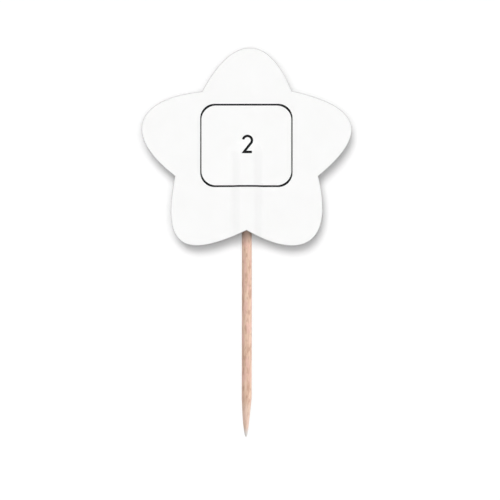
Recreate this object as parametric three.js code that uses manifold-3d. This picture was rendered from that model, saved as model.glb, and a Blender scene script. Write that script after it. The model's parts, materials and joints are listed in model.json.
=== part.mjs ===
// A cupcake pick: two star-shaped plies of white card, glued face to face round a wooden stick.
// Millimetres, +Z up. The stick's point is at the origin, and the printed face looks along -Y.

import * as THREE from 'three';
import { mergeVertices } from 'three/addons/utils/BufferGeometryUtils.js';
import Module from 'manifold-3d';

const wasm = await Module();
wasm.setup();

// Wooden stick
const stickLength = 65;
const stickRadius = 1.15;
const pointLength = 9; // from the tip up to the full round
const stickEndBevel = 0.15;

// Star of card, seen from the front
const starCentreHeight = 64.9; // above the stick's point
const petalReach = 24.7; // from the centre to a petal's tip
const notchRadius = 17.2; // from the centre to the sharp corner between two petals
const petalSpread = 3.8; // from a petal's axis to each handle of its curve

// No two petals are quite alike. Clockwise from the top: how much further each one reaches, how far it leans,
// how much more it spreads, and how much further out the corner before it lies
const petals = [
  { further: -0.7, lean: 0.9, spread: 0.4, corner: 0.1 },
  { further: 0.0, lean: 1.3, spread: -0.5, corner: 0.3 },
  { further: 0.0, lean: -0.1, spread: 0.5, corner: 0.0 },
  { further: 0.4, lean: 0.4, spread: -0.9, corner: 0.5 },
  { further: 0.1, lean: -0.6, spread: 0.7, corner: 0.0 },
];

// Plies, and the adhesive between them
const cardThickness = 0.3;
const adhesiveThickness = 0.1;
const adhesiveInset = 0.6; // how far the adhesive stops short of the card's edge

// Ridge that the stick raises in both plies
const stickClearance = 0.1; // between the stick and the plies
const crownMargin = 0.2; // level crown on each side of the stick
const flankRun = 2.5; // across, from the crown's edge to the foot

// Fineness of the round stretches
const petalSegments = 24;
const flankSegments = 8;
const roundSegments = 48;
const pointSegments = 10;

// Distances from the plane between the plies
const adhesiveHalf = adhesiveThickness / 2;
const cardFace = adhesiveHalf + cardThickness;
const tunnelCrown = stickRadius + stickClearance;
const ridgeCrown = tunnelCrown + cardThickness;

// Ridge seen from the front, measured from the star's centre
const crownHalfWidth = stickRadius + crownMargin;
const ridgeHalfWidth = crownHalfWidth + flankRun;
const longestReach = petalReach + Math.max(...petals.map((petal) => petal.further));
const cornerRadius = crownHalfWidth - stickClearance; // round the crown's end, for the corner of the stick's end
const stickEndInCrown = Math.sqrt(cornerRadius ** 2 - stickRadius ** 2);
const ridgeEnd = stickLength - stickEndInCrown - starCentreHeight; // centre of the ridge's round end

const whiteCard = { color: 0xf7f7f5, roughness: 0.75, metalness: 0 };
const driedAdhesive = { color: 0xe6e2d6, roughness: 0.5, metalness: 0 };
const paleWood = { color: 0xdcc0ab, roughness: 0.7, metalness: 0 };

// A closed geometry as a solid that can be joined and cut
function solidFrom(geometry) {
  geometry.deleteAttribute('normal');
  geometry.deleteAttribute('uv');
  const merged = mergeVertices(geometry);
  const corners = merged.index.array;
  const triangles = [];
  for (let i = 0; i < corners.length; i += 3) {
    const [a, b, c] = corners.slice(i, i + 3);
    if (a !== b && b !== c && c !== a) triangles.push(a, b, c);
  }
  return new wasm.Manifold(new wasm.Mesh({
    numProp: 3,
    vertProperties: new Float32Array(merged.attributes.position.array),
    triVerts: new Uint32Array(triangles),
  }));
}

function geometryFrom(solid) {
  const { vertProperties, triVerts } = solid.getMesh();
  const geometry = new THREE.BufferGeometry();
  geometry.setAttribute('position', new THREE.BufferAttribute(vertProperties, 3));
  geometry.setIndex(new THREE.BufferAttribute(triVerts, 1));
  geometry.computeVertexNormals();
  return geometry;
}

function namedMesh(name, geometry, finish) {
  const mesh = new THREE.Mesh(geometry, new THREE.MeshStandardMaterial(finish));
  mesh.name = name;
  return mesh;
}

// The star's outline round its centre, drawn in by inset. Each petal is one curve between two notches.
function starOutline(inset) {
  const halfPetal = Math.PI / petals.length;
  const notchAcross = Math.sin(halfPetal);
  const notchAlong = Math.cos(halfPetal);
  const outline = new THREE.Shape();
  petals.forEach((petal, index) => {
    const turn = -2 * halfPetal * index;
    const place = (across, along) => new THREE.Vector2(across, along).rotateAround(new THREE.Vector2(), turn);
    const next = petals[(index + 1) % petals.length];
    const before = notchRadius + petal.corner - inset;
    const after = notchRadius + next.corner - inset;
    const spread = petalSpread + petal.spread - inset;
    // A cubic curve's middle lies three quarters of the way out from its ends to its handles
    const base = (before + after) / 2 * notchAlong;
    const handleAlong = base + (petalReach + petal.further - inset - base) * 4 / 3;
    const start = place(-before * notchAcross, before * notchAlong);
    const handleIn = place(petal.lean - spread, handleAlong);
    const handleOut = place(petal.lean + spread, handleAlong);
    const end = place(after * notchAcross, after * notchAlong);
    if (index === 0) outline.moveTo(start.x, start.y);
    outline.bezierCurveTo(handleIn.x, handleIn.y, handleOut.x, handleOut.y, end.x, end.y);
  });
  return outline;
}

// A star-shaped plate that reaches as far behind the plane between the plies as in front of it
function starPlate(inset, halfDepth) {
  const geometry = new THREE.ExtrudeGeometry(starOutline(inset), {
    depth: 2 * halfDepth,
    bevelEnabled: false,
    curveSegments: petalSegments,
  });
  geometry.translate(0, 0, -halfDepth);
  geometry.rotateX(Math.PI / 2);
  return solidFrom(geometry);
}

// A slab wider than the star, from one distance behind the plane between the plies to another
function slab(from, to) {
  const width = 2 * (longestReach + ridgeCrown);
  const box = new THREE.BoxGeometry(width, to - from, width);
  box.translate(0, (from + to) / 2, 0);
  return solidFrom(box);
}

// One flank of the ridge's section, from the crown's edge out to the foot, level where it meets both
function flankCurve(crown, foot) {
  const handle = flankRun / 3;
  return new THREE.CubicBezierCurve(
    new THREE.Vector2(crownHalfWidth, crown),
    new THREE.Vector2(crownHalfWidth + handle, crown),
    new THREE.Vector2(ridgeHalfWidth - handle, foot),
    new THREE.Vector2(ridgeHalfWidth, foot),
  );
}

// A bar along the stick with the ridge's section on both faces, and a round upper end
function ridgeBar(crown, foot) {
  const right = flankCurve(crown, foot).getPoints(flankSegments);
  const mirrored = (points, signX, signY) => points.map(({ x, y }) => new THREE.Vector2(signX * x, signY * y));
  const backRight = mirrored(right, 1, 1);
  const frontRight = mirrored(right, 1, -1).reverse();
  const frontLeft = mirrored(right, -1, -1);
  const backLeft = mirrored(right, -1, 1).reverse();
  const section = new THREE.Shape([...backRight, ...frontRight, ...frontLeft, ...backLeft]);
  const length = ridgeEnd + longestReach;
  const bar = new THREE.ExtrudeGeometry(section, { depth: length, bevelEnabled: false });
  bar.translate(0, 0, ridgeEnd - length);

  const profile = [new THREE.Vector2(0, -crown), ...mirrored(right, 1, -1), ...right.toReversed(),
    new THREE.Vector2(0, crown)];
  const end = new THREE.LatheGeometry(profile, roundSegments);
  end.translate(0, 0, ridgeEnd);
  return solidFrom(bar).add(solidFrom(end));
}

// Both plies in one cut: the star with the ridge on it, hollowed where the adhesive and the stick lie
function cardPlies() {
  const outside = starPlate(0, cardFace).add(ridgeBar(ridgeCrown, cardFace));
  const hollow = slab(-adhesiveHalf, adhesiveHalf).add(ridgeBar(tunnelCrown, adhesiveHalf));
  return outside.subtract(hollow).intersect(starPlate(0, ridgeCrown));
}

function adhesiveFilm() {
  return starPlate(adhesiveInset, adhesiveHalf).subtract(ridgeBar(tunnelCrown, adhesiveHalf));
}

function stickGeometry() {
  // The point's side is a parabola: round at the very tip, and nearly in line with the shank at its top
  const taper = new THREE.QuadraticBezierCurve(
    new THREE.Vector2(0, 0),
    new THREE.Vector2(stickRadius / 2, 0),
    new THREE.Vector2(stickRadius, pointLength),
  );
  const profile = [
    ...taper.getPoints(pointSegments),
    new THREE.Vector2(stickRadius, stickLength - stickEndBevel),
    new THREE.Vector2(stickRadius - stickEndBevel, stickLength),
    new THREE.Vector2(0, stickLength),
  ];
  const geometry = new THREE.LatheGeometry(profile, roundSegments);
  geometry.rotateX(Math.PI / 2);
  return geometry;
}

const plies = cardPlies();
const frontCard = geometryFrom(plies.intersect(slab(-2 * ridgeCrown, 0)));
const backCard = geometryFrom(plies.intersect(slab(0, 2 * ridgeCrown)));

const star = new THREE.Group();
star.position.z = starCentreHeight;
star.add(namedMesh('front_card', frontCard, whiteCard));
star.add(namedMesh('back_card', backCard, whiteCard));
star.add(namedMesh('adhesive_film', geometryFrom(adhesiveFilm()), driedAdhesive));

const pick = new THREE.Group();
pick.add(star);
pick.add(namedMesh('wooden_stick', stickGeometry(), paleWood));

export default pick;
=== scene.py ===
import json
import math

import bpy
import numpy as np
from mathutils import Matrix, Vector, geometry


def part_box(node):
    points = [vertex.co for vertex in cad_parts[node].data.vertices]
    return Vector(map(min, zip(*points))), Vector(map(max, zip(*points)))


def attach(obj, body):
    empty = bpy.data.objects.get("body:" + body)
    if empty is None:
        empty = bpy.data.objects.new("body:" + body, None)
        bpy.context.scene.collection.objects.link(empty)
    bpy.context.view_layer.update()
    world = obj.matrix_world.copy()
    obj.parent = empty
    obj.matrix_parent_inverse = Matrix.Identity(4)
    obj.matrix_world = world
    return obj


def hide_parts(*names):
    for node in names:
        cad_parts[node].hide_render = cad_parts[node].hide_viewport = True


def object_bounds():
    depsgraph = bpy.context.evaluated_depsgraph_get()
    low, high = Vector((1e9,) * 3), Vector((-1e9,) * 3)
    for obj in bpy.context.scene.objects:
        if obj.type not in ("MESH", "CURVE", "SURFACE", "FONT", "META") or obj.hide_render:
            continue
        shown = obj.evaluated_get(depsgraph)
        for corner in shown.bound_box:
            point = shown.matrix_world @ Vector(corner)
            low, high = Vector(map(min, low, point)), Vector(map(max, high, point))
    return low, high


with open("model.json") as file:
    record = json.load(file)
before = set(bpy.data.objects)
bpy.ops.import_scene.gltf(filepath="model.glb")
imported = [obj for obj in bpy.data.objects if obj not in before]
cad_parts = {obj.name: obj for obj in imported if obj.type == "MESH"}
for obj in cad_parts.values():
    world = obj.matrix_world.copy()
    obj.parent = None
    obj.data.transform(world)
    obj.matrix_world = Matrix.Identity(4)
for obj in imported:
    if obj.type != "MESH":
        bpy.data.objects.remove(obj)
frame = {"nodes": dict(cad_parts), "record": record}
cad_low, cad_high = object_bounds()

# A cupcake pick: two star-shaped plies of white card, glued face to face round a pointed wooden stick.
# Sizes are in millimetres, and MM turns them into Blender's metres. The pick stands on its point at the
# origin, its printed face looks along -Y, and +Z runs up the stick. Colours are in linear light.
MM = 0.001

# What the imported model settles
stick_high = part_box("wooden_stick")[1]
mounts = {mount["name"]: mount for mount in frame["record"]["mounts"]}
STICK_LENGTH = stick_high.z / MM
STICK_RADIUS = stick_high.x / MM
CARD_FACE = mounts["back_face"]["pos_m"][1] / MM
RIDGE_CROWN = cad_high.y / MM

# Wooden stick: its point leans left, its middle bows right, and shallow grooves run up its side
POINT_LENGTH = 9.0
TIP_LEAN = 0.14
LEAN_FROM = 0.35  # of the point's length, where the lean starts to fade
LEAN_TO = 1.1  # of the point's length, where it has gone
STICK_END_BEVEL = 0.15
STICK_BOW = 0.05
GROOVE_DEPTH = 0.03
GROOVE_SIZE = (0.16, 0.16, 7.0)
GROOVE_SEED = 4.0

# Star of card, seen from the front. No two petals are quite alike: clockwise from the top, how much
# further each one reaches, how far it leans, how much more it spreads, and how much further out the
# corner before it lies
STAR_CENTRE = 64.9
PETAL_REACH = 24.7
NOTCH_RADIUS = 17.2
PETAL_SPREAD = 3.8
PETALS = (
    (-0.7, 0.9, 0.4, 0.1),
    (0.0, 1.3, -0.5, 0.3),
    (0.0, -0.1, 0.5, 0.0),
    (0.4, 0.4, -0.9, 0.5),
    (0.1, -0.6, 0.7, 0.0),
)
OUTLINE_TUCK = 0.02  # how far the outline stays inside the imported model's

# Plies of card, and the print on the front one
CARD_THICKNESS = 0.3
FACE_TUCK = 0.02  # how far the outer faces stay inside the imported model's
RIM_ROUNDING = 0.07
RIM_RINGS = (0.02, 0.04, 0.07, 0.1, 0.14, 0.18)  # the mesh's rings, as distances from the cut edge
INK_THICKNESS = 0.02  # above the card's face
INK_SUNK = 0.01  # below it

# Ridge that the stick raises in both plies
CROWN_MARGIN = 0.2  # level crown on each side of the stick
STICK_CLEARANCE = 0.1  # between the stick and the plies
FLANK_RUN = 2.5  # across, from the crown's edge to the foot

# Printed frame and numeral, seen from the front
FRAME_CENTRE = (-0.05, 66.6)
FRAME_SIZE = (20.8, 18.6)
FRAME_CORNER = 3.3
FRAME_LINE = (0.28, 0.4)  # on the upright sides and on the level ones
FRAME_SWELL = 0.14  # what the middle of a round corner adds
NUMERAL_CENTRE = (0.2, 66.9)
NUMERAL_SIZE = (2.6, 4.3)
NUMERAL_LINE = 0.56
NUMERAL_HEEL = 0.22  # how far the path's heel lies in from the numeral's left
NUMERAL_START = 168.0  # where the bowl begins, in degrees anticlockwise from its right

# Fineness of the meshes
STICK_SIDES = 80
STICK_RINGS = 400
POINT_STEPS = 24
PETAL_STEPS = 96
FLANK_STEPS = 16
RIDGE_STEP = 0.3
RIDGE_POINT_INSET = 0.4  # the least way from a point on the ridge to the star's edge
LEVEL_STEP = 1.6
LEVEL_POINT_INSET = 0.9  # and from a point beside the ridge
INK_STEP = 0.15
MERGE_DISTANCE = 0.001
SHARP_ANGLE = 40.0
TRIANGULATION_TOLERANCE = 1e-6
INSIDE_ONLY = 1  # the triangulation's mode that keeps what lies within the outline

# Card: the tones of its face and of its core, the sizes of its patterns, and a painted shade line round its
# rim, where the cut is also a little greyer
CARD_TONES = ((0.922, 0.922, 0.916), (0.942, 0.942, 0.939))
CARD_CLOUD = (5.0, 5.0, 5.0)
CARD_TOOTH = (0.05, 0.05, 0.05)
CARD_RELIEF = 0.006
CORE_TONES = ((0.60, 0.585, 0.56), (0.78, 0.77, 0.745))
CORE_LAYERS = (1.8, 0.035, 1.8)
RIM_SHADE_LINE = 0.04  # from the cut edge to where the line starts to fade
# Painted shade: the grey that darkens the face next to the cut edge
RIM_SHADE_TONE = (0.22, 0.22, 0.22)
RIM_SHADE_SHARE = 0.66
FIBRE_SPACING = 0.35
FIBRE_THINNESS = 0.05

# Wood: streaks along the grain, from dark to pale
BROAD_STREAKS = (0.45, 0.45, 7.0)
FINE_STREAKS = (0.12, 0.12, 3.5)
FINE_SHARE = 0.45
STREAK_TONES = (
    (0.0, (0.46, 0.285, 0.20)),
    (0.35, (0.67, 0.445, 0.33)),
    (0.65, (0.84, 0.60, 0.462)),
    (1.0, (0.92, 0.73, 0.58)),
)

# Marks laid over the streaks in turn. The streaks break a mark up by the amount given, and it grows from
# nothing to its full share between two values of its pattern
WOOD_MARKS = {
    "blotches": {
        "size": (0.6, 0.6, 1.4), "seed": 7.0, "broken": 0.4, "grows": (0.7, 0.98), "share": 0.8,
        "tone": (0.56, 0.33, 0.235),
    },
    "pink_flush": {
        "size": (0.8, 0.8, 3.0), "seed": 8.0, "broken": 0.3, "grows": (0.6, 0.85), "share": 0.65,
        "tone": (0.82, 0.52, 0.45),
    },
    "flecks": {
        "size": (0.14, 0.14, 0.8), "seed": 3.0, "broken": 0.0, "grows": (0.74, 0.95), "share": 0.55,
        "tone": (0.43, 0.27, 0.19),
    },
}
PORE_SIZE = (0.045, 0.045, 0.6)
PORE_GROWS = (0.72, 0.9)
PORE_SHARE = 0.3
PORE_DEPTH = 0.8
PORE_TONE = (0.38, 0.25, 0.18)
WOOD_RELIEF = 0.03

# Zones along the stick: the heights between which each one fades, its share at both of them, and its tone
PALE_CUT = (0.7 * POINT_LENGTH, POINT_LENGTH, 0.35, 0.0, (0.80, 0.66, 0.56))
GREY_TIP = (0.6, 2.6, 0.85, 0.0, (0.66, 0.645, 0.63))
# Painted shadow: the card's shadow on the stick just below it, darkened into the wood's colour
PAINTED_SHADOW_BY_CARD = (43.3, 46.8, 0.0, 0.88, (0.24, 0.17, 0.135))
CUT_RINGS = (4.0, 4.0, 0.16)
CUT_RING_SHARE = 0.6

# Ink, and the grey of the card where it is thin
INK_TONES = ((0.006, 0.006, 0.007), (0.35, 0.35, 0.35))
INK_PATCHES = (0.5, 0.5, 0.5)
INK_THIN_SHARE = 0.08
INK_RELIEF = 0.004

# Dried glue
GLUE_TONES = ((0.70, 0.665, 0.58), (0.82, 0.79, 0.715))
GLUE_CLOUD = (2.2, 2.2, 2.2)
BUBBLE_SIZE = (0.18, 0.18, 0.18)
BUBBLE_GROWS = (0.7, 0.85)
BUBBLE_SHARE = 0.4
BUBBLE_TONE = (0.88, 0.86, 0.80)
BUBBLE_RELIEF = 0.02

# Patterns that the finishes share
NOISE_RANGE = (0.25, 0.75)  # where nearly all values of the noise lie
FIBRE_SEEDS = (1.0, 7.0)
FIBRE_CURL = 1.6

# Photograph: its width in pixels, the size of one of them on the card, and the pixel of the stick's point
PHOTO_PIXELS = 500
PIXEL = 0.2285
POINT_PIXEL = (246.6, 437.0)
LENS = 100.0
SENSOR = 36.0
CLIP_SHARE = 0.01  # of the camera's distance, nearer than which it sees nothing

# Stage
FLOOR_HEIGHT = -20.0
BACKDROP_DEPTH = 4.0
STAGE_HALF_SIZE = 600.0
BACKDROP_TONE = 0.1
BACKDROP_GLOW = 0.085
FLOOR_TONE = 0.75
FLOOR_GLOW = 0.45
WORLD_LIGHT = 0.74

# Lamps: power, and in degrees the width, the elevation and the azimuth to the right of the camera's
CARD_LAMP = (0.33, 40.0, 30.0, 0.0)
STICK_LAMP = (0.42, 40.0, 15.0, 50.0)
BACK_LAMP = (0.25, 40.0, 30.0, 180.0)
DROP_SHADOW_LAMP = (3.6, 27.0, 23.7, -9.3)
CLOSE_SHADOW_LAMP = (5.5, 56.0, 6.1, -1.4)

# Worked out from the sizes above
PLY_INNER = CARD_FACE - CARD_THICKNESS
PLY_OUTER = CARD_FACE - FACE_TUCK
RIDGE_RISE = RIDGE_CROWN - CARD_FACE
CROWN_HALF_WIDTH = STICK_RADIUS + CROWN_MARGIN
RIDGE_HALF_WIDTH = CROWN_HALF_WIDTH + FLANK_RUN
RIDGE_END = STICK_LENGTH - math.sqrt((CROWN_HALF_WIDTH - STICK_CLEARANCE) ** 2 - STICK_RADIUS ** 2)

FRONT = -1.0
BACK = 1.0


def add_node(tree, kind, values=None, **settings):
    """A node whose sockets take the values, each a constant, a link or a list of links."""
    node = tree.nodes.new(kind)
    for name, value in settings.items():
        setattr(node, name, value)
    for socket, value in (values or {}).items():
        if isinstance(value, (bpy.types.NodeSocket, list)):
            for source in value if isinstance(value, list) else [value]:
                tree.links.new(source, node.inputs[socket])
        else:
            node.inputs[socket].default_value = value
    return node


def new_group(name, kind, inputs, outputs):
    """An empty node group with named sockets, and the sockets that its nodes read and feed."""
    tree = bpy.data.node_groups.new(name, kind)
    for label, (socket_type, value) in inputs.items():
        socket = tree.interface.new_socket(label, in_out="INPUT", socket_type=socket_type)
        if value is not None:
            socket.default_value = value
    for label, socket_type in outputs.items():
        tree.interface.new_socket(label, in_out="OUTPUT", socket_type=socket_type)
    return tree, tree.nodes.new("NodeGroupInput").outputs, tree.nodes.new("NodeGroupOutput").inputs


def calculate(tree, operation, *values):
    """The result of one sum on numbers or sockets."""
    return add_node(tree, "ShaderNodeMath", dict(enumerate(values)), operation=operation).outputs[0]


def combine(tree, x, y, z):
    return add_node(tree, "ShaderNodeCombineXYZ", {"X": x, "Y": y, "Z": z}).outputs[0]


def ease(tree, value, start, end, at_start, at_end, interpolation="SMOOTHSTEP"):
    """A number that goes from one value to another while the driving one goes from start to end."""
    values = {"Value": value, "From Min": start, "From Max": end, "To Min": at_start, "To Max": at_end}
    return add_node(tree, "ShaderNodeMapRange", values, interpolation_type=interpolation).outputs[0]


def finish_tree(tree, shape, finish, result):
    """The end of each tree of geometry: smooth shading, real geometry and its material."""
    smooth = add_node(tree, "GeometryNodeSetShadeSmooth", {"Geometry": shape})
    real = add_node(tree, "GeometryNodeRealizeInstances", {"Geometry": smooth.outputs[0]})
    coated = add_node(tree, "GeometryNodeSetMaterial", {"Geometry": real.outputs[0], "Material": finish})
    tree.links.new(coated.outputs[0], result)


def press_tree():
    """Gives a flat blank its thickness, rounds over its cut rim and presses it over the stick."""
    length = ("NodeSocketFloat", 0.0)
    tree, given, made = new_group(
        "press_over_stick",
        "GeometryNodeTree",
        {
            "Blank": ("NodeSocketGeometry", None),
            "Side": ("NodeSocketFloat", FRONT),
            "Inner Face": length,
            "Outer Face": length,
            "Rim Rounding": length,
            "Crown Half Width": length,
            "Flank Run": length,
            "Ridge Rise": length,
            "Ridge End": length,
            "Finish": ("NodeSocketMaterial", None),
        },
        {"Sheet": "NodeSocketGeometry"},
    )
    # The blank lies at depth 0, and its copy at depth 1 becomes the outer face
    extruded = add_node(
        tree, "GeometryNodeExtrudeMesh",
        {"Mesh": given["Blank"], "Offset": (0.0, -1.0, 0.0), "Individual": False},
    )
    walled = add_node(
        tree, "GeometryNodeStoreNamedAttribute",
        {"Geometry": extruded.outputs["Mesh"], "Name": "cut_edge", "Value": extruded.outputs["Side"]},
        data_type="FLOAT", domain="FACE",
    )
    inner = add_node(tree, "GeometryNodeFlipFaces", {"Mesh": given["Blank"]})
    joined = add_node(tree, "GeometryNodeJoinGeometry", {"Geometry": [walled.outputs[0], inner.outputs[0]]})
    closed = add_node(
        tree, "GeometryNodeMergeByDistance",
        {"Geometry": joined.outputs[0], "Distance": MERGE_DISTANCE * MM},
    )

    place = add_node(tree, "GeometryNodeInputPosition")
    axes = add_node(tree, "ShaderNodeSeparateXYZ", {0: place.outputs[0]}).outputs
    above_end = calculate(tree, "MAXIMUM", calculate(tree, "SUBTRACT", axes["Z"], given["Ridge End"]), 0.0)
    off_spine = add_node(
        tree, "ShaderNodeVectorMath", {0: combine(tree, axes["X"], 0.0, above_end)}, operation="LENGTH",
    ).outputs["Value"]
    foot = calculate(tree, "ADD", given["Crown Half Width"], given["Flank Run"])
    lift = ease(tree, off_spine, given["Crown Half Width"], foot, given["Ridge Rise"], 0.0)

    # The rim falls away from the outer face along a quarter circle
    edge = add_node(tree, "GeometryNodeInputNamedAttribute", {"Name": "edge_distance"}, data_type="FLOAT")
    rounding = given["Rim Rounding"]
    within = calculate(tree, "SUBTRACT", rounding, edge.outputs["Attribute"])
    short = calculate(tree, "MAXIMUM", within, 0.0)
    square = calculate(
        tree, "SUBTRACT", calculate(tree, "POWER", rounding, 2.0), calculate(tree, "POWER", short, 2.0),
    )
    drop = calculate(tree, "SUBTRACT", rounding, calculate(tree, "SQRT", square))
    outer = calculate(tree, "SUBTRACT", given["Outer Face"], drop)
    depth = calculate(tree, "MULTIPLY", axes["Y"], -1.0)
    flat = ease(tree, depth, 0.0, 1.0, given["Inner Face"], outer, "LINEAR")
    across = calculate(tree, "MULTIPLY", calculate(tree, "ADD", flat, lift), given["Side"])
    pressed = add_node(
        tree, "GeometryNodeSetPosition",
        {"Geometry": closed.outputs[0], "Position": combine(tree, axes["X"], across, axes["Z"])},
    )
    at_back = add_node(
        tree, "FunctionNodeCompare", {"A": given["Side"], "B": 0.0}, operation="GREATER_THAN",
    )
    outward = add_node(
        tree, "GeometryNodeFlipFaces", {"Mesh": pressed.outputs[0], "Selection": at_back.outputs[0]},
    )
    finish_tree(tree, outward.outputs[0], given["Finish"], made["Sheet"])
    return tree


def lathe_tree():
    """Turns a profile round the Z axis, then bows it, leans its point and furrows it along the grain."""
    length = ("NodeSocketFloat", 0.0)
    tree, given, made = new_group(
        "turn_and_furrow",
        "GeometryNodeTree",
        {
            "Profile": ("NodeSocketGeometry", None),
            "Sides": ("NodeSocketInt", 3),
            "Rings": ("NodeSocketInt", 2),
            "Radius": length,
            "Length": length,
            "Point Length": length,
            "Tip Lean": length,
            "Bow": length,
            "Groove Depth": length,
            "Groove Size": ("NodeSocketVector", (MM, MM, MM)),
            "Seed": ("NodeSocketFloat", 0.0),
            "Finish": ("NodeSocketMaterial", None),
        },
        {"Stick": "NodeSocketGeometry"},
    )
    columns = calculate(tree, "ADD", given["Sides"], 1.0)
    grid = add_node(
        tree, "GeometryNodeMeshGrid",
        {"Size X": 1.0, "Size Y": 1.0, "Vertices X": columns, "Vertices Y": given["Rings"]},
    )
    place = add_node(tree, "GeometryNodeInputPosition")
    axes = add_node(tree, "ShaderNodeSeparateXYZ", {0: place.outputs[0]}).outputs
    angle = calculate(tree, "MULTIPLY", axes["X"], math.tau)
    along = calculate(tree, "ADD", axes["Y"], 0.5)
    sample = add_node(
        tree, "GeometryNodeSampleCurve", {"Curves": given["Profile"], "Factor": along}, mode="FACTOR",
    )
    profile = add_node(tree, "ShaderNodeSeparateXYZ", {0: sample.outputs["Position"]}).outputs
    radius = profile["X"]
    height = profile["Z"]
    cosine = calculate(tree, "COSINE", angle)
    sine = calculate(tree, "SINE", angle)

    # The grooves' pattern is read on the plain round side
    round_x = calculate(tree, "MULTIPLY", cosine, radius)
    round_y = calculate(tree, "MULTIPLY", sine, radius)
    spread = add_node(
        tree, "ShaderNodeVectorMath",
        {0: combine(tree, round_x, round_y, height), 1: given["Groove Size"]}, operation="DIVIDE",
    )
    furrows = add_node(
        tree, "ShaderNodeTexNoise",
        {"Vector": spread.outputs[0], "W": given["Seed"], "Scale": 1.0, "Detail": 2.0},
        noise_dimensions="4D",
    )
    slimness = calculate(tree, "DIVIDE", radius, given["Radius"])
    depth = calculate(tree, "MULTIPLY", given["Groove Depth"], slimness)
    cut = calculate(tree, "MULTIPLY", furrows.outputs[0], depth)
    worn = calculate(tree, "SUBTRACT", radius, cut)

    share = calculate(tree, "DIVIDE", height, given["Length"])
    swing = calculate(tree, "SINE", calculate(tree, "MULTIPLY", share, math.pi))
    bow = calculate(tree, "MULTIPLY", swing, given["Bow"])
    lean_from = calculate(tree, "MULTIPLY", given["Point Length"], LEAN_FROM)
    lean_to = calculate(tree, "MULTIPLY", given["Point Length"], LEAN_TO)
    lean = ease(tree, height, lean_from, lean_to, given["Tip Lean"], 0.0)
    sideways = calculate(tree, "SUBTRACT", bow, lean)
    x = calculate(tree, "MULTIPLY_ADD", worn, cosine, sideways)
    y = calculate(tree, "MULTIPLY", worn, sine)
    shaped = add_node(
        tree, "GeometryNodeSetPosition",
        {"Geometry": grid.outputs["Mesh"], "Position": combine(tree, x, y, height)},
    )
    closed = add_node(
        tree, "GeometryNodeMergeByDistance",
        {"Geometry": shaped.outputs[0], "Distance": MERGE_DISTANCE * MM},
    )
    finish_tree(tree, closed.outputs[0], given["Finish"], made["Stick"])
    return tree


def made_with(tree, blank, values):
    """The plain mesh that a tree makes from a blank and the values of its named inputs."""
    holder = bpy.data.objects.new("holder", blank)
    bpy.context.scene.collection.objects.link(holder)
    modifier = holder.modifiers.new(tree.name, "NODES")
    modifier.node_group = tree
    for socket in tree.interface.items_tree:
        if socket.in_out == "INPUT" and socket.name in values:
            modifier[socket.identifier] = values[socket.name]
    depsgraph = bpy.context.evaluated_depsgraph_get()
    mesh = bpy.data.meshes.new_from_object(
        holder.evaluated_get(depsgraph), preserve_all_data_layers=True, depsgraph=depsgraph,
    )
    bpy.data.objects.remove(holder)
    # The blank had no material, which leaves an empty slot before the finish
    mesh.materials.pop(index=0)
    return mesh


def add_piece(name, mesh, stands_for=None):
    """A finished mesh as a piece of the pick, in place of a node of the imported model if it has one."""
    mesh.set_sharp_from_angle(angle=math.radians(SHARP_ANGLE))
    piece = bpy.data.objects.new(name, mesh)
    bpy.context.scene.collection.objects.link(piece)
    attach(piece, "root")
    if stands_for:
        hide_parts(stands_for)


def turned(points, degrees):
    """Points, as across and up, turned clockwise about the origin."""
    angle = math.radians(degrees)
    across, up = points.T
    return np.column_stack((across * math.cos(angle) + up * math.sin(angle),
                            up * math.cos(angle) - across * math.sin(angle)))


def star_outline():
    """The star's edge clockwise from the top petal's left notch, one cubic curve for each petal."""
    half_petal = math.pi / len(PETALS)
    across, along = math.sin(half_petal), math.cos(half_petal)
    step = np.linspace(0.0, 1.0, PETAL_STEPS, endpoint=False)[:, None]
    edges = []
    for index, (further, lean, wider, corner) in enumerate(PETALS):
        next_corner = PETALS[(index + 1) % len(PETALS)][-1]
        before = NOTCH_RADIUS + corner - OUTLINE_TUCK
        after = NOTCH_RADIUS + next_corner - OUTLINE_TUCK
        spread = PETAL_SPREAD + wider - OUTLINE_TUCK
        # A cubic curve's middle lies three quarters of the way out from its ends to its handles
        base = (before + after) / 2 * along
        handle = base + (PETAL_REACH + further - OUTLINE_TUCK - base) * 4 / 3
        start, into, out, end = np.array([
            (-before * across, before * along),
            (lean - spread, handle),
            (lean + spread, handle),
            (after * across, after * along),
        ])
        curve = (start * (1 - step) ** 3 + into * 3 * step * (1 - step) ** 2
                 + out * 3 * step ** 2 * (1 - step) + end * step ** 3)
        edges.append(turned(curve, 360.0 / len(PETALS) * index))
    return np.vstack(edges) + (0.0, STAR_CENTRE)


def drawn_in(outline, distance):
    """A clockwise outline moved inwards by a small distance."""
    run = np.roll(outline, -1, axis=0) - np.roll(outline, 1, axis=0)
    run /= np.linalg.norm(run, axis=1)[:, None]
    return outline + distance * np.column_stack((run[:, 1], -run[:, 0]))


def ridge_points():
    """Rows of points at even steps down the ridge's flanks, along its sides and round its end."""
    heights = np.arange(RIDGE_END, STAR_CENTRE - PETAL_REACH, -RIDGE_STEP)
    rows = [np.column_stack((np.zeros(len(heights)), heights))]
    for off_spine in np.linspace(CROWN_HALF_WIDTH, RIDGE_HALF_WIDTH, FLANK_STEPS + 1):
        for side in (-1, 1):
            rows.append(np.column_stack((np.full(len(heights), side * off_spine), heights)))
        steps = round(math.pi * off_spine / RIDGE_STEP)
        angles = np.linspace(0.0, math.pi, steps + 1)[1:-1]
        rows.append(off_spine * np.column_stack((np.cos(angles), np.sin(angles))) + (0.0, RIDGE_END))
    return np.vstack(rows)


def level_points():
    """A grid of points on the level card beside the ridge."""
    steps = np.arange(-PETAL_REACH, PETAL_REACH, LEVEL_STEP)
    across, up = np.meshgrid(steps, steps + STAR_CENTRE)
    points = np.column_stack((across.ravel(), up.ravel()))
    above_end = np.maximum(points[:, 1] - RIDGE_END, 0.0)
    return points[np.hypot(points[:, 0], above_end) > RIDGE_HALF_WIDTH + LEVEL_STEP / 2]


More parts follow.
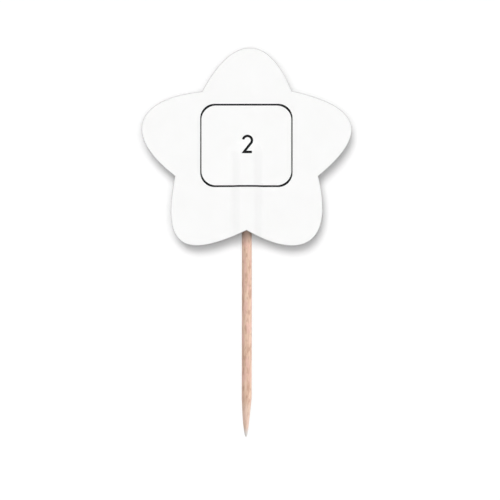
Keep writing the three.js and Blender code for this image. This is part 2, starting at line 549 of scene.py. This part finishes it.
def room_inside(points, outline):
    """How far each point lies inside the star's edge, along a ray from the star's centre."""
    def polar(places):
        across, up = (places - (0.0, STAR_CENTRE)).T
        return np.arctan2(up, across), np.hypot(across, up)
    edge_angle, edge_radius = polar(outline)
    order = np.argsort(edge_angle)
    angle, radius = polar(points)
    return np.interp(angle, edge_angle[order], edge_radius[order], period=math.tau) - radius


def flat_mesh(name, points, faces):
    """A flat mesh, facing the viewer, from points across and up and faces that run anticlockwise."""
    mesh = bpy.data.meshes.new(name)
    mesh.from_pydata([(x * MM, 0.0, z * MM) for x, z in points], [], faces)
    return mesh


def star_blank():
    """The flat die-cut star as triangles, with each point's distance from the edge kept as an attribute."""
    outline = star_outline()
    rings = [outline] + [drawn_in(outline, distance) for distance in RIM_RINGS]
    ridge = ridge_points()
    level = level_points()
    inner = np.vstack((
        ridge[room_inside(ridge, outline) > RIDGE_POINT_INSET],
        level[room_inside(level, outline) > LEVEL_POINT_INSET],
    ))
    points = np.vstack((*rings, inner))
    distances = np.repeat((0.0, *RIM_RINGS, RIM_RINGS[-1]), [len(outline)] * len(rings) + [len(inner)])
    loops = []
    for ring in range(len(rings)):
        first = ring * len(outline)
        loops += [(first + i, first + (i + 1) % len(outline)) for i in range(len(outline))]
    corners, _, faces, sources, _, _ = geometry.delaunay_2d_cdt(
        [tuple(point) for point in points], loops, [], INSIDE_ONLY, TRIANGULATION_TOLERANCE,
    )
    mesh = flat_mesh("star_blank", corners, faces)
    values = [distances[source[0]] * MM for source in sources]
    mesh.attributes.new("edge_distance", "FLOAT", "POINT").data.foreach_set("value", values)
    return mesh


def arc(centre, radius, start, end):
    """Points round part of a circle, from one angle to another, in degrees."""
    steps = math.ceil(abs(math.radians(end - start)) * radius / INK_STEP)
    angles = np.radians(np.linspace(start, end, steps + 1))
    return np.column_stack((np.cos(angles), np.sin(angles))) * radius + centre


def ribbon_blank(name, path, width, closed):
    """A flat line of ink along a path, mitred at its corners, in faces small enough to follow the ridge.

    The width is one number, or one for each point of the path.
    """
    following = np.roll(path, -1, axis=0) - path
    leading = path - np.roll(path, 1, axis=0)
    if not closed:
        following[-1] = leading[-1]
        leading[0] = following[0]
    normals = [np.column_stack((-run[:, 1], run[:, 0])) / np.linalg.norm(run, axis=1)[:, None]
               for run in (leading, following)]
    bisector = normals[0] + normals[1]
    mitre = bisector * (width / 2 / (1 + (normals[0] * normals[1]).sum(axis=1)))[:, None]
    stations = np.stack((path - mitre, path + mitre), axis=1)
    if closed:
        stations = np.concatenate((stations, stations[:1]))
    rows = []
    for start, end in zip(stations[:-1], stations[1:]):
        steps = math.ceil(np.linalg.norm(end - start, axis=1).max() / INK_STEP)
        shares = np.arange(steps)[:, None, None] / steps
        rows.append(start + shares * (end - start))
    if not closed:
        rows.append(stations[-1:])
    rows = np.concatenate(rows)
    widest = np.linalg.norm(stations[:, 1] - stations[:, 0], axis=1).max()
    columns = math.ceil(widest / INK_STEP) + 1
    shares = np.linspace(0.0, 1.0, columns)[:, None]
    points = rows[:, :1] * (1 - shares) + rows[:, 1:] * shares
    faces = []
    for row in range(len(rows) if closed else len(rows) - 1):
        first, second = row * columns, (row + 1) % len(rows) * columns
        for column in range(columns - 1):
            faces.append((first + column, second + column, second + column + 1, first + column + 1))
    return flat_mesh(name, points.reshape(-1, 2), faces)


def frame_path():
    """The printed frame's path, anticlockwise from its lower right corner, and its width at each point.

    The line is finer on the upright sides than on the level ones, and swells in the round corners.
    """
    half_width, half_height = (size / 2 - FRAME_CORNER for size in FRAME_SIZE)
    corners = [(half_width, -half_height), (half_width, half_height),
               (-half_width, half_height), (-half_width, -half_height)]
    bends = []
    widths = []
    for index, corner in enumerate(corners):
        bend = arc(corner, FRAME_CORNER, 90.0 * (index - 1), 90.0 * index)
        across, up = np.abs(bend - corner).T / FRAME_CORNER
        bends.append(bend)
        widths.append(across ** 2 * FRAME_LINE[0] + up ** 2 * FRAME_LINE[1] + 2 * across * up * FRAME_SWELL)
    return np.vstack(bends) + FRAME_CENTRE, np.concatenate(widths)


def numeral_path():
    """A plain figure two: a bowl, a slanting stroke tangent to it and a level foot."""
    half_width, half_height = ((size - NUMERAL_LINE) / 2 for size in NUMERAL_SIZE)
    bowl = np.array((0.0, half_height - half_width))
    # The heel's sharp corner reaches further out than its place on the path
    heel = np.array((NUMERAL_HEEL - half_width, -half_height))
    toe = np.array((half_width, -half_height))
    across, up = heel - bowl
    tangent = math.degrees(math.atan2(up, across) + math.acos(half_width / math.hypot(across, up)))
    bend = arc(bowl, half_width, NUMERAL_START, tangent)
    return np.vstack((bend, [heel, toe])) + NUMERAL_CENTRE


def stick_profile():
    """Half of the stick's section: a parabola at the point, then straight up to the blunt end's middle."""
    share = np.linspace(0.0, 1.0, POINT_STEPS)
    points = [
        *zip(STICK_RADIUS * share, POINT_LENGTH * share ** 2),
        (STICK_RADIUS, STICK_LENGTH - STICK_END_BEVEL),
        (STICK_RADIUS - STICK_END_BEVEL, STICK_LENGTH),
        (0.0, STICK_LENGTH),
    ]
    curve = bpy.data.curves.new("stick_profile", "CURVE")
    curve.dimensions = "3D"
    spline = curve.splines.new("POLY")
    spline.points.add(len(points) - 1)
    for point, (radius, height) in zip(spline.points, points):
        point.co = (radius * MM, 0.0, height * MM, 1.0)
    return curve


def grain_group():
    """A cloudy pattern from 0 to 1, as large along each axis as its size says, in metres."""
    tree, given, made = new_group(
        "grain",
        "ShaderNodeTree",
        {
            "Vector": ("NodeSocketVector", None),
            "Size": ("NodeSocketVector", (MM, MM, MM)),
            "Detail": ("NodeSocketFloat", 2.0),
            "Seed": ("NodeSocketFloat", 0.0),
        },
        {"Value": "NodeSocketFloat"},
    )
    spread = add_node(
        tree, "ShaderNodeVectorMath", {0: given["Vector"], 1: given["Size"]}, operation="DIVIDE",
    )
    noise = add_node(
        tree, "ShaderNodeTexNoise",
        {"Vector": spread.outputs[0], "W": given["Seed"], "Scale": 1.0, "Detail": given["Detail"]},
        noise_dimensions="4D",
    )
    tree.links.new(ease(tree, noise.outputs[0], *NOISE_RANGE, 0.0, 1.0, "LINEAR"), made["Value"])
    return tree


def fibre_group():
    """Matted fibres as thin curling lines, 1 on a fibre and 0 beside it."""
    tree, given, made = new_group(
        "matted_fibres",
        "ShaderNodeTree",
        {
            "Vector": ("NodeSocketVector", None),
            "Spacing": ("NodeSocketFloat", FIBRE_SPACING * MM),
            "Thinness": ("NodeSocketFloat", FIBRE_THINNESS),
        },
        {"Fibre": "NodeSocketFloat"},
    )
    scale = calculate(tree, "DIVIDE", 1.0, given["Spacing"])
    layers = []
    for seed in FIBRE_SEEDS:
        noise = add_node(
            tree, "ShaderNodeTexNoise",
            {"Vector": given["Vector"], "W": seed, "Scale": scale, "Detail": 1.0, "Distortion": FIBRE_CURL},
            noise_dimensions="4D",
        )
        off_line = calculate(tree, "ABSOLUTE", calculate(tree, "SUBTRACT", noise.outputs[0], 0.5))
        layers.append(ease(tree, off_line, 0.0, given["Thinness"], 1.0, 0.0))
    tree.links.new(calculate(tree, "MAXIMUM", *layers), made["Fibre"])
    return tree


GRAIN = grain_group()
FIBRES = fibre_group()


def new_finish(name, **plain):
    """A material with its shader, the shader's even values, and the object's own coordinates."""
    material = bpy.data.materials.new(name)
    material.use_nodes = True
    tree = material.node_tree
    shader = tree.nodes["Principled BSDF"]
    for socket, value in plain.items():
        shader.inputs[socket.replace("_", " ")].default_value = value
    coordinates = add_node(tree, "ShaderNodeTexCoord").outputs["Object"]
    return material, tree, shader, coordinates


def grain(tree, vector, size, detail=2.0, seed=0.0):
    """The grain group's pattern for a size in millimetres along each axis."""
    metres = tuple(side * MM for side in size)
    values = {"Vector": vector, "Size": metres, "Detail": detail, "Seed": seed}
    return add_node(tree, "ShaderNodeGroup", values, node_tree=GRAIN).outputs[0]


def fibres(tree, vector):
    """The fibre group's pattern for the card and for the ink on it."""
    values = {"Vector": vector, "Spacing": FIBRE_SPACING * MM, "Thinness": FIBRE_THINNESS}
    return add_node(tree, "ShaderNodeGroup", values, node_tree=FIBRES).outputs[0]


def blend(tree, factor, first, second):
    """The first colour where the factor is 0, and the second where it is 1."""
    node = add_node(tree, "ShaderNodeMix", {"Factor": factor}, data_type="RGBA")
    for socket, colour in ((node.inputs[6], first), (node.inputs[7], second)):
        if isinstance(colour, bpy.types.NodeSocket):
            tree.links.new(colour, socket)
        else:
            socket.default_value = (*colour, 1.0)
    return node.outputs[2]


def colour_ramp(tree, value, stops):
    """The colour that a value from 0 to 1 picks between stops, each a place and its colour."""
    ramp = add_node(tree, "ShaderNodeValToRGB", {"Fac": value})
    elements = ramp.color_ramp.elements
    for place, _ in stops[1:-1]:
        elements.new(place)
    for element, (_, colour) in zip(elements, stops):
        element.color = (*colour, 1.0)
    return ramp.outputs["Color"]


def bump(tree, height, distance):
    """A normal for a height from 0 to 1 that stands the given distance proud, in millimetres."""
    return add_node(tree, "ShaderNodeBump", {"Height": height, "Distance": distance * MM}).outputs["Normal"]


def card_finish():
    """White card: an uneven face of matted fibres, a painted shade line round it that is partly a greyer
    cut, and a cut edge in layers.
    """
    material, tree, shader, place = new_finish("matted_card", Roughness=0.62, Specular_IOR_Level=0.3)
    face = blend(tree, grain(tree, place, CARD_CLOUD, detail=3.0), *CARD_TONES)
    edge = add_node(tree, "ShaderNodeAttribute", attribute_name="edge_distance").outputs["Fac"]
    # Painted shade of the rounded rim, partly a greyer cut: the face turns grey towards the cut edge
    rim = ease(tree, edge, RIM_SHADE_LINE * MM, RIM_RINGS[-1] * MM, RIM_SHADE_SHARE, 0.0)
    with_rim_shade = blend(tree, rim, face, RIM_SHADE_TONE)
    layers = grain(tree, place, CORE_LAYERS, seed=2.0)
    core = blend(tree, layers, *CORE_TONES)
    wall = add_node(tree, "ShaderNodeAttribute", attribute_name="cut_edge").outputs["Fac"]
    tree.links.new(blend(tree, wall, with_rim_shade, core), shader.inputs["Base Color"])

    tooth = calculate(tree, "MULTIPLY", grain(tree, place, CARD_TOOTH, seed=5.0), 0.5)
    surface = calculate(tree, "MULTIPLY_ADD", fibres(tree, place), 0.5, tooth)
    relief = calculate(tree, "MULTIPLY_ADD", layers, wall, surface)
    tree.links.new(bump(tree, relief, CARD_RELIEF), shader.inputs["Normal"])
    return material


def wood_mark(tree, place, streaks, colour, size, seed, broken, grows, share, tone):
    """The wood's colour with one kind of mark over it, which the streaks break up along the grain."""
    pattern = calculate(tree, "MULTIPLY_ADD", streaks, broken, grain(tree, place, size, seed=seed))
    return blend(tree, ease(tree, pattern, *grows, 0.0, share), colour, tone)


def wood_finish():
    """Bare pale wood: streaks, the marks over them, fine pores, and the zones along the stick, the last of
    them the card's shadow painted on.
    """
    material, tree, shader, place = new_finish(
        "turned_wood", Roughness=0.68, Specular_IOR_Level=0.3, Sheen_Weight=0.14, Sheen_Roughness=0.5,
    )
    broad = grain(tree, place, BROAD_STREAKS, seed=1.0)
    fine = grain(tree, place, FINE_STREAKS, detail=3.0, seed=2.0)
    streaks = calculate(
        tree, "MULTIPLY_ADD", broad, 1.0 - FINE_SHARE, calculate(tree, "MULTIPLY", fine, FINE_SHARE),
    )
    colour = colour_ramp(tree, streaks, STREAK_TONES)
    for mark in WOOD_MARKS.values():
        colour = wood_mark(tree, place, fine, colour, **mark)
    pores = ease(tree, grain(tree, place, PORE_SIZE, seed=4.0), *PORE_GROWS, 0.0, 1.0)
    colour = blend(tree, calculate(tree, "MULTIPLY", pores, PORE_SHARE), colour, PORE_TONE)
    height = add_node(tree, "ShaderNodeSeparateXYZ", {0: place}).outputs["Z"]
    # The last zone is painted shadow: the card's shadow darkens the stick's top below it
    for start, end, at_start, at_end, tone in (PALE_CUT, GREY_TIP, PAINTED_SHADOW_BY_CARD):
        share = ease(tree, height, start * MM, end * MM, at_start, at_end)
        colour = blend(tree, share, colour, tone)
    tree.links.new(colour, shader.inputs["Base Color"])

    # The cutter left fine rings round the pale point
    furrows = calculate(tree, "SUBTRACT", fine, calculate(tree, "MULTIPLY", pores, PORE_DEPTH))
    cut = ease(tree, height, PALE_CUT[0] * MM, PALE_CUT[1] * MM, CUT_RING_SHARE, 0.0)
    relief = calculate(tree, "MULTIPLY_ADD", cut, grain(tree, place, CUT_RINGS, seed=6.0), furrows)
    tree.links.new(bump(tree, relief, WOOD_RELIEF), shader.inputs["Normal"])
    return material


def ink_finish():
    """Flat near-black ink, a little thinner where the fibres of the card stand up."""
    material, tree, shader, place = new_finish("black_print", Roughness=0.6, Specular_IOR_Level=0.1)
    strands = fibres(tree, place)
    patches = grain(tree, place, INK_PATCHES, seed=8.0)
    thin = calculate(tree, "MULTIPLY", calculate(tree, "MULTIPLY", strands, patches), INK_THIN_SHARE)
    tree.links.new(blend(tree, thin, *INK_TONES), shader.inputs["Base Color"])
    tree.links.new(bump(tree, strands, INK_RELIEF), shader.inputs["Normal"])
    return material


def adhesive_finish():
    """Dried paper glue: cream, cloudy and pitted with small bubbles."""
    material, tree, shader, place = new_finish("dried_glue", Roughness=0.38, Specular_IOR_Level=0.4)
    body = blend(tree, grain(tree, place, GLUE_CLOUD, detail=3.0, seed=9.0), *GLUE_TONES)
    bubbles = ease(tree, grain(tree, place, BUBBLE_SIZE, seed=10.0), *BUBBLE_GROWS, 0.0, 1.0)
    colour = blend(tree, calculate(tree, "MULTIPLY", bubbles, BUBBLE_SHARE), body, BUBBLE_TONE)
    tree.links.new(colour, shader.inputs["Base Color"])
    tree.links.new(bump(tree, bubbles, BUBBLE_RELIEF), shader.inputs["Normal"])
    return material


def dress_pick():
    """The pieces of the pick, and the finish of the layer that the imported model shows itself."""
    press = press_tree()
    ridge = {
        "Crown Half Width": CROWN_HALF_WIDTH * MM,
        "Flank Run": FLANK_RUN * MM,
        "Ridge Rise": RIDGE_RISE * MM,
        "Ridge End": RIDGE_END * MM,
    }
    ply = {
        "Inner Face": PLY_INNER * MM,
        "Outer Face": PLY_OUTER * MM,
        "Rim Rounding": RIM_ROUNDING * MM,
        "Finish": card_finish(),
    }
    star = star_blank()
    for name, side, node in (("front_ply", FRONT, "front_card"), ("back_ply", BACK, "back_card")):
        add_piece(name, made_with(press, star, {**ridge, **ply, "Side": side}), node)

    print_layer = {
        "Side": FRONT,
        "Inner Face": (PLY_OUTER - INK_SUNK) * MM,
        "Outer Face": (PLY_OUTER + INK_THICKNESS) * MM,
        "Rim Rounding": 0.0,
        "Finish": ink_finish(),
    }
    lines = (
        ("printed_frame", *frame_path(), True),
        ("printed_numeral", numeral_path(), NUMERAL_LINE, False),
    )
    for name, path, width, closed in lines:
        blank = ribbon_blank(name + "_blank", path, width, closed)
        add_piece(name, made_with(press, blank, {**ridge, **print_layer}))

    stick = {
        "Sides": STICK_SIDES,
        "Rings": STICK_RINGS,
        "Radius": STICK_RADIUS * MM,
        "Length": STICK_LENGTH * MM,
        "Point Length": POINT_LENGTH * MM,
        "Tip Lean": TIP_LEAN * MM,
        "Bow": STICK_BOW * MM,
        "Groove Depth": GROOVE_DEPTH * MM,
        "Groove Size": tuple(size * MM for size in GROOVE_SIZE),
        "Seed": GROOVE_SEED,
        "Finish": wood_finish(),
    }
    add_piece("turned_stick", made_with(lathe_tree(), stick_profile(), stick), "wooden_stick")

    film = frame["nodes"]["adhesive_film"]
    film.data.materials.clear()
    film.data.materials.append(adhesive_finish())


def seen_rays(tree):
    """1 for the rays by which the camera, metal and glass see the surroundings, 0 for all others."""
    rays = add_node(tree, "ShaderNodeLightPath").outputs
    direct = calculate(tree, "MAXIMUM", rays["Is Camera Ray"], rays["Is Glossy Ray"])
    return calculate(tree, "MAXIMUM", direct, rays["Is Transmission Ray"])


def stage_finish(name, tone, glow):
    """White studio paper that takes shadows on its face, and that only rays from its front side see."""
    material = bpy.data.materials.new(name)
    material.use_nodes = True
    tree = material.node_tree
    tree.nodes.clear()
    paper = add_node(tree, "ShaderNodeBsdfDiffuse", {"Color": (tone, tone, tone, 1.0)})
    lit = add_node(tree, "ShaderNodeEmission", {"Color": (1.0, 1.0, 1.0, 1.0), "Strength": glow})
    bright = add_node(tree, "ShaderNodeAddShader", {0: paper.outputs[0], 1: lit.outputs[0]})
    clear = add_node(tree, "ShaderNodeBsdfTransparent")
    behind = add_node(tree, "ShaderNodeNewGeometry").outputs["Backfacing"]
    shown = calculate(tree, "MULTIPLY", seen_rays(tree), calculate(tree, "SUBTRACT", 1.0, behind))
    mixed = add_node(tree, "ShaderNodeMixShader", {0: shown, 1: clear.outputs[0], 2: bright.outputs[0]})
    add_node(tree, "ShaderNodeOutputMaterial", {"Surface": mixed.outputs[0]})
    return material


def stage_sheet(name, corners, tone, glow):
    """A wide white sheet of the stage, which faces the side from which its corners run anticlockwise."""
    mesh = bpy.data.meshes.new(name)
    mesh.from_pydata([tuple(side * MM for side in corner) for corner in corners], [], [(0, 1, 2, 3)])
    mesh.materials.append(stage_finish(name, tone, glow))
    sheet = bpy.data.objects.new(name, mesh)
    bpy.context.scene.collection.objects.link(sheet)
    return sheet


def sun_lamp(name, power, angle, elevation, azimuth):
    """A sun at an elevation and an azimuth, in degrees. The wider its angle, the softer its shadows."""
    lamp = bpy.data.lights.new(name, "SUN")
    lamp.energy = power * math.pi
    lamp.angle = math.radians(angle)
    sun = bpy.data.objects.new(name, lamp)
    sun.rotation_euler = (math.radians(90.0 - elevation), 0.0, math.radians(azimuth))
    bpy.context.scene.collection.objects.link(sun)
    return sun


def light_world():
    """A white studio that lights everything evenly, and that the camera sees as plain white."""
    world = bpy.data.worlds.new("white_studio")
    world.use_nodes = True
    tree = world.node_tree
    strength = ease(tree, seen_rays(tree), 0.0, 1.0, WORLD_LIGHT, 1.0, "LINEAR")
    sky = tree.nodes["Background"]
    sky.inputs["Color"].default_value = (1.0, 1.0, 1.0, 1.0)
    tree.links.new(strength, sky.inputs["Strength"])
    bpy.context.scene.world = world


def linked(name, *objects):
    """A collection of the objects that a lamp's light is linked to."""
    collection = bpy.data.collections.new(name)
    for one in objects:
        collection.objects.link(one)
    return collection


def set_stage():
    """The floor, the backdrop and the lights."""
    side = STAGE_HALF_SIZE
    floor = [(-side, -side, FLOOR_HEIGHT), (side, -side, FLOOR_HEIGHT),
             (side, side, FLOOR_HEIGHT), (-side, side, FLOOR_HEIGHT)]
    wall = [(-side, BACKDROP_DEPTH, FLOOR_HEIGHT), (side, BACKDROP_DEPTH, FLOOR_HEIGHT),
            (side, BACKDROP_DEPTH, side), (-side, BACKDROP_DEPTH, side)]
    stage_sheet("floor", floor, FLOOR_TONE, FLOOR_GLOW)
    backdrop = stage_sheet("backdrop", wall, BACKDROP_TONE, BACKDROP_GLOW)
    light_world()
    front_ply, back_ply, frame_print, numeral_print, stick = (
        bpy.data.objects[name]
        for name in ("front_ply", "back_ply", "printed_frame", "printed_numeral", "turned_stick")
    )
    lit_by_card_lamp = linked("lit_by_card_lamp", front_ply, back_ply, frame_print, numeral_print)
    sun_lamp("card_lamp", *CARD_LAMP).light_linking.receiver_collection = lit_by_card_lamp
    lit_by_stick_lamp = linked("lit_by_stick_lamp", stick)
    sun_lamp("stick_lamp", *STICK_LAMP).light_linking.receiver_collection = lit_by_stick_lamp
    sun_lamp("back_lamp", *BACK_LAMP)

    # The card's shadow on the backdrop: a firm one that falls below it, and a soft one close round it
    lit_by_shadow_lamps = linked("lit_by_shadow_lamps", backdrop)
    shades_backdrop = linked("shades_backdrop", front_ply, back_ply)
    for name, lamp in (("drop_shadow_lamp", DROP_SHADOW_LAMP), ("close_shadow_lamp", CLOSE_SHADOW_LAMP)):
        linking = sun_lamp(name, *lamp).light_linking
        linking.receiver_collection = lit_by_shadow_lamps
        linking.blocker_collection = shades_backdrop


def set_camera():
    """The camera of the photograph, square on to the card and level with the middle of the picture."""
    lens = bpy.data.cameras.new("camera")
    lens.lens = LENS
    lens.sensor_width = SENSOR
    camera = bpy.data.objects.new("camera", lens)
    middle = PHOTO_PIXELS / 2
    across = (middle - POINT_PIXEL[0]) * PIXEL
    up = (POINT_PIXEL[1] - middle) * PIXEL
    distance = PHOTO_PIXELS * PIXEL * LENS / SENSOR
    camera.location = (across * MM, -distance * MM, up * MM)
    camera.rotation_euler = (math.radians(90.0), 0.0, 0.0)
    lens.clip_start = distance * MM * CLIP_SHARE
    bpy.context.scene.collection.objects.link(camera)
    bpy.context.scene.camera = camera


set_camera()
dress_pick()
set_stage()
bpy.context.scene.view_settings.view_transform = "Standard"
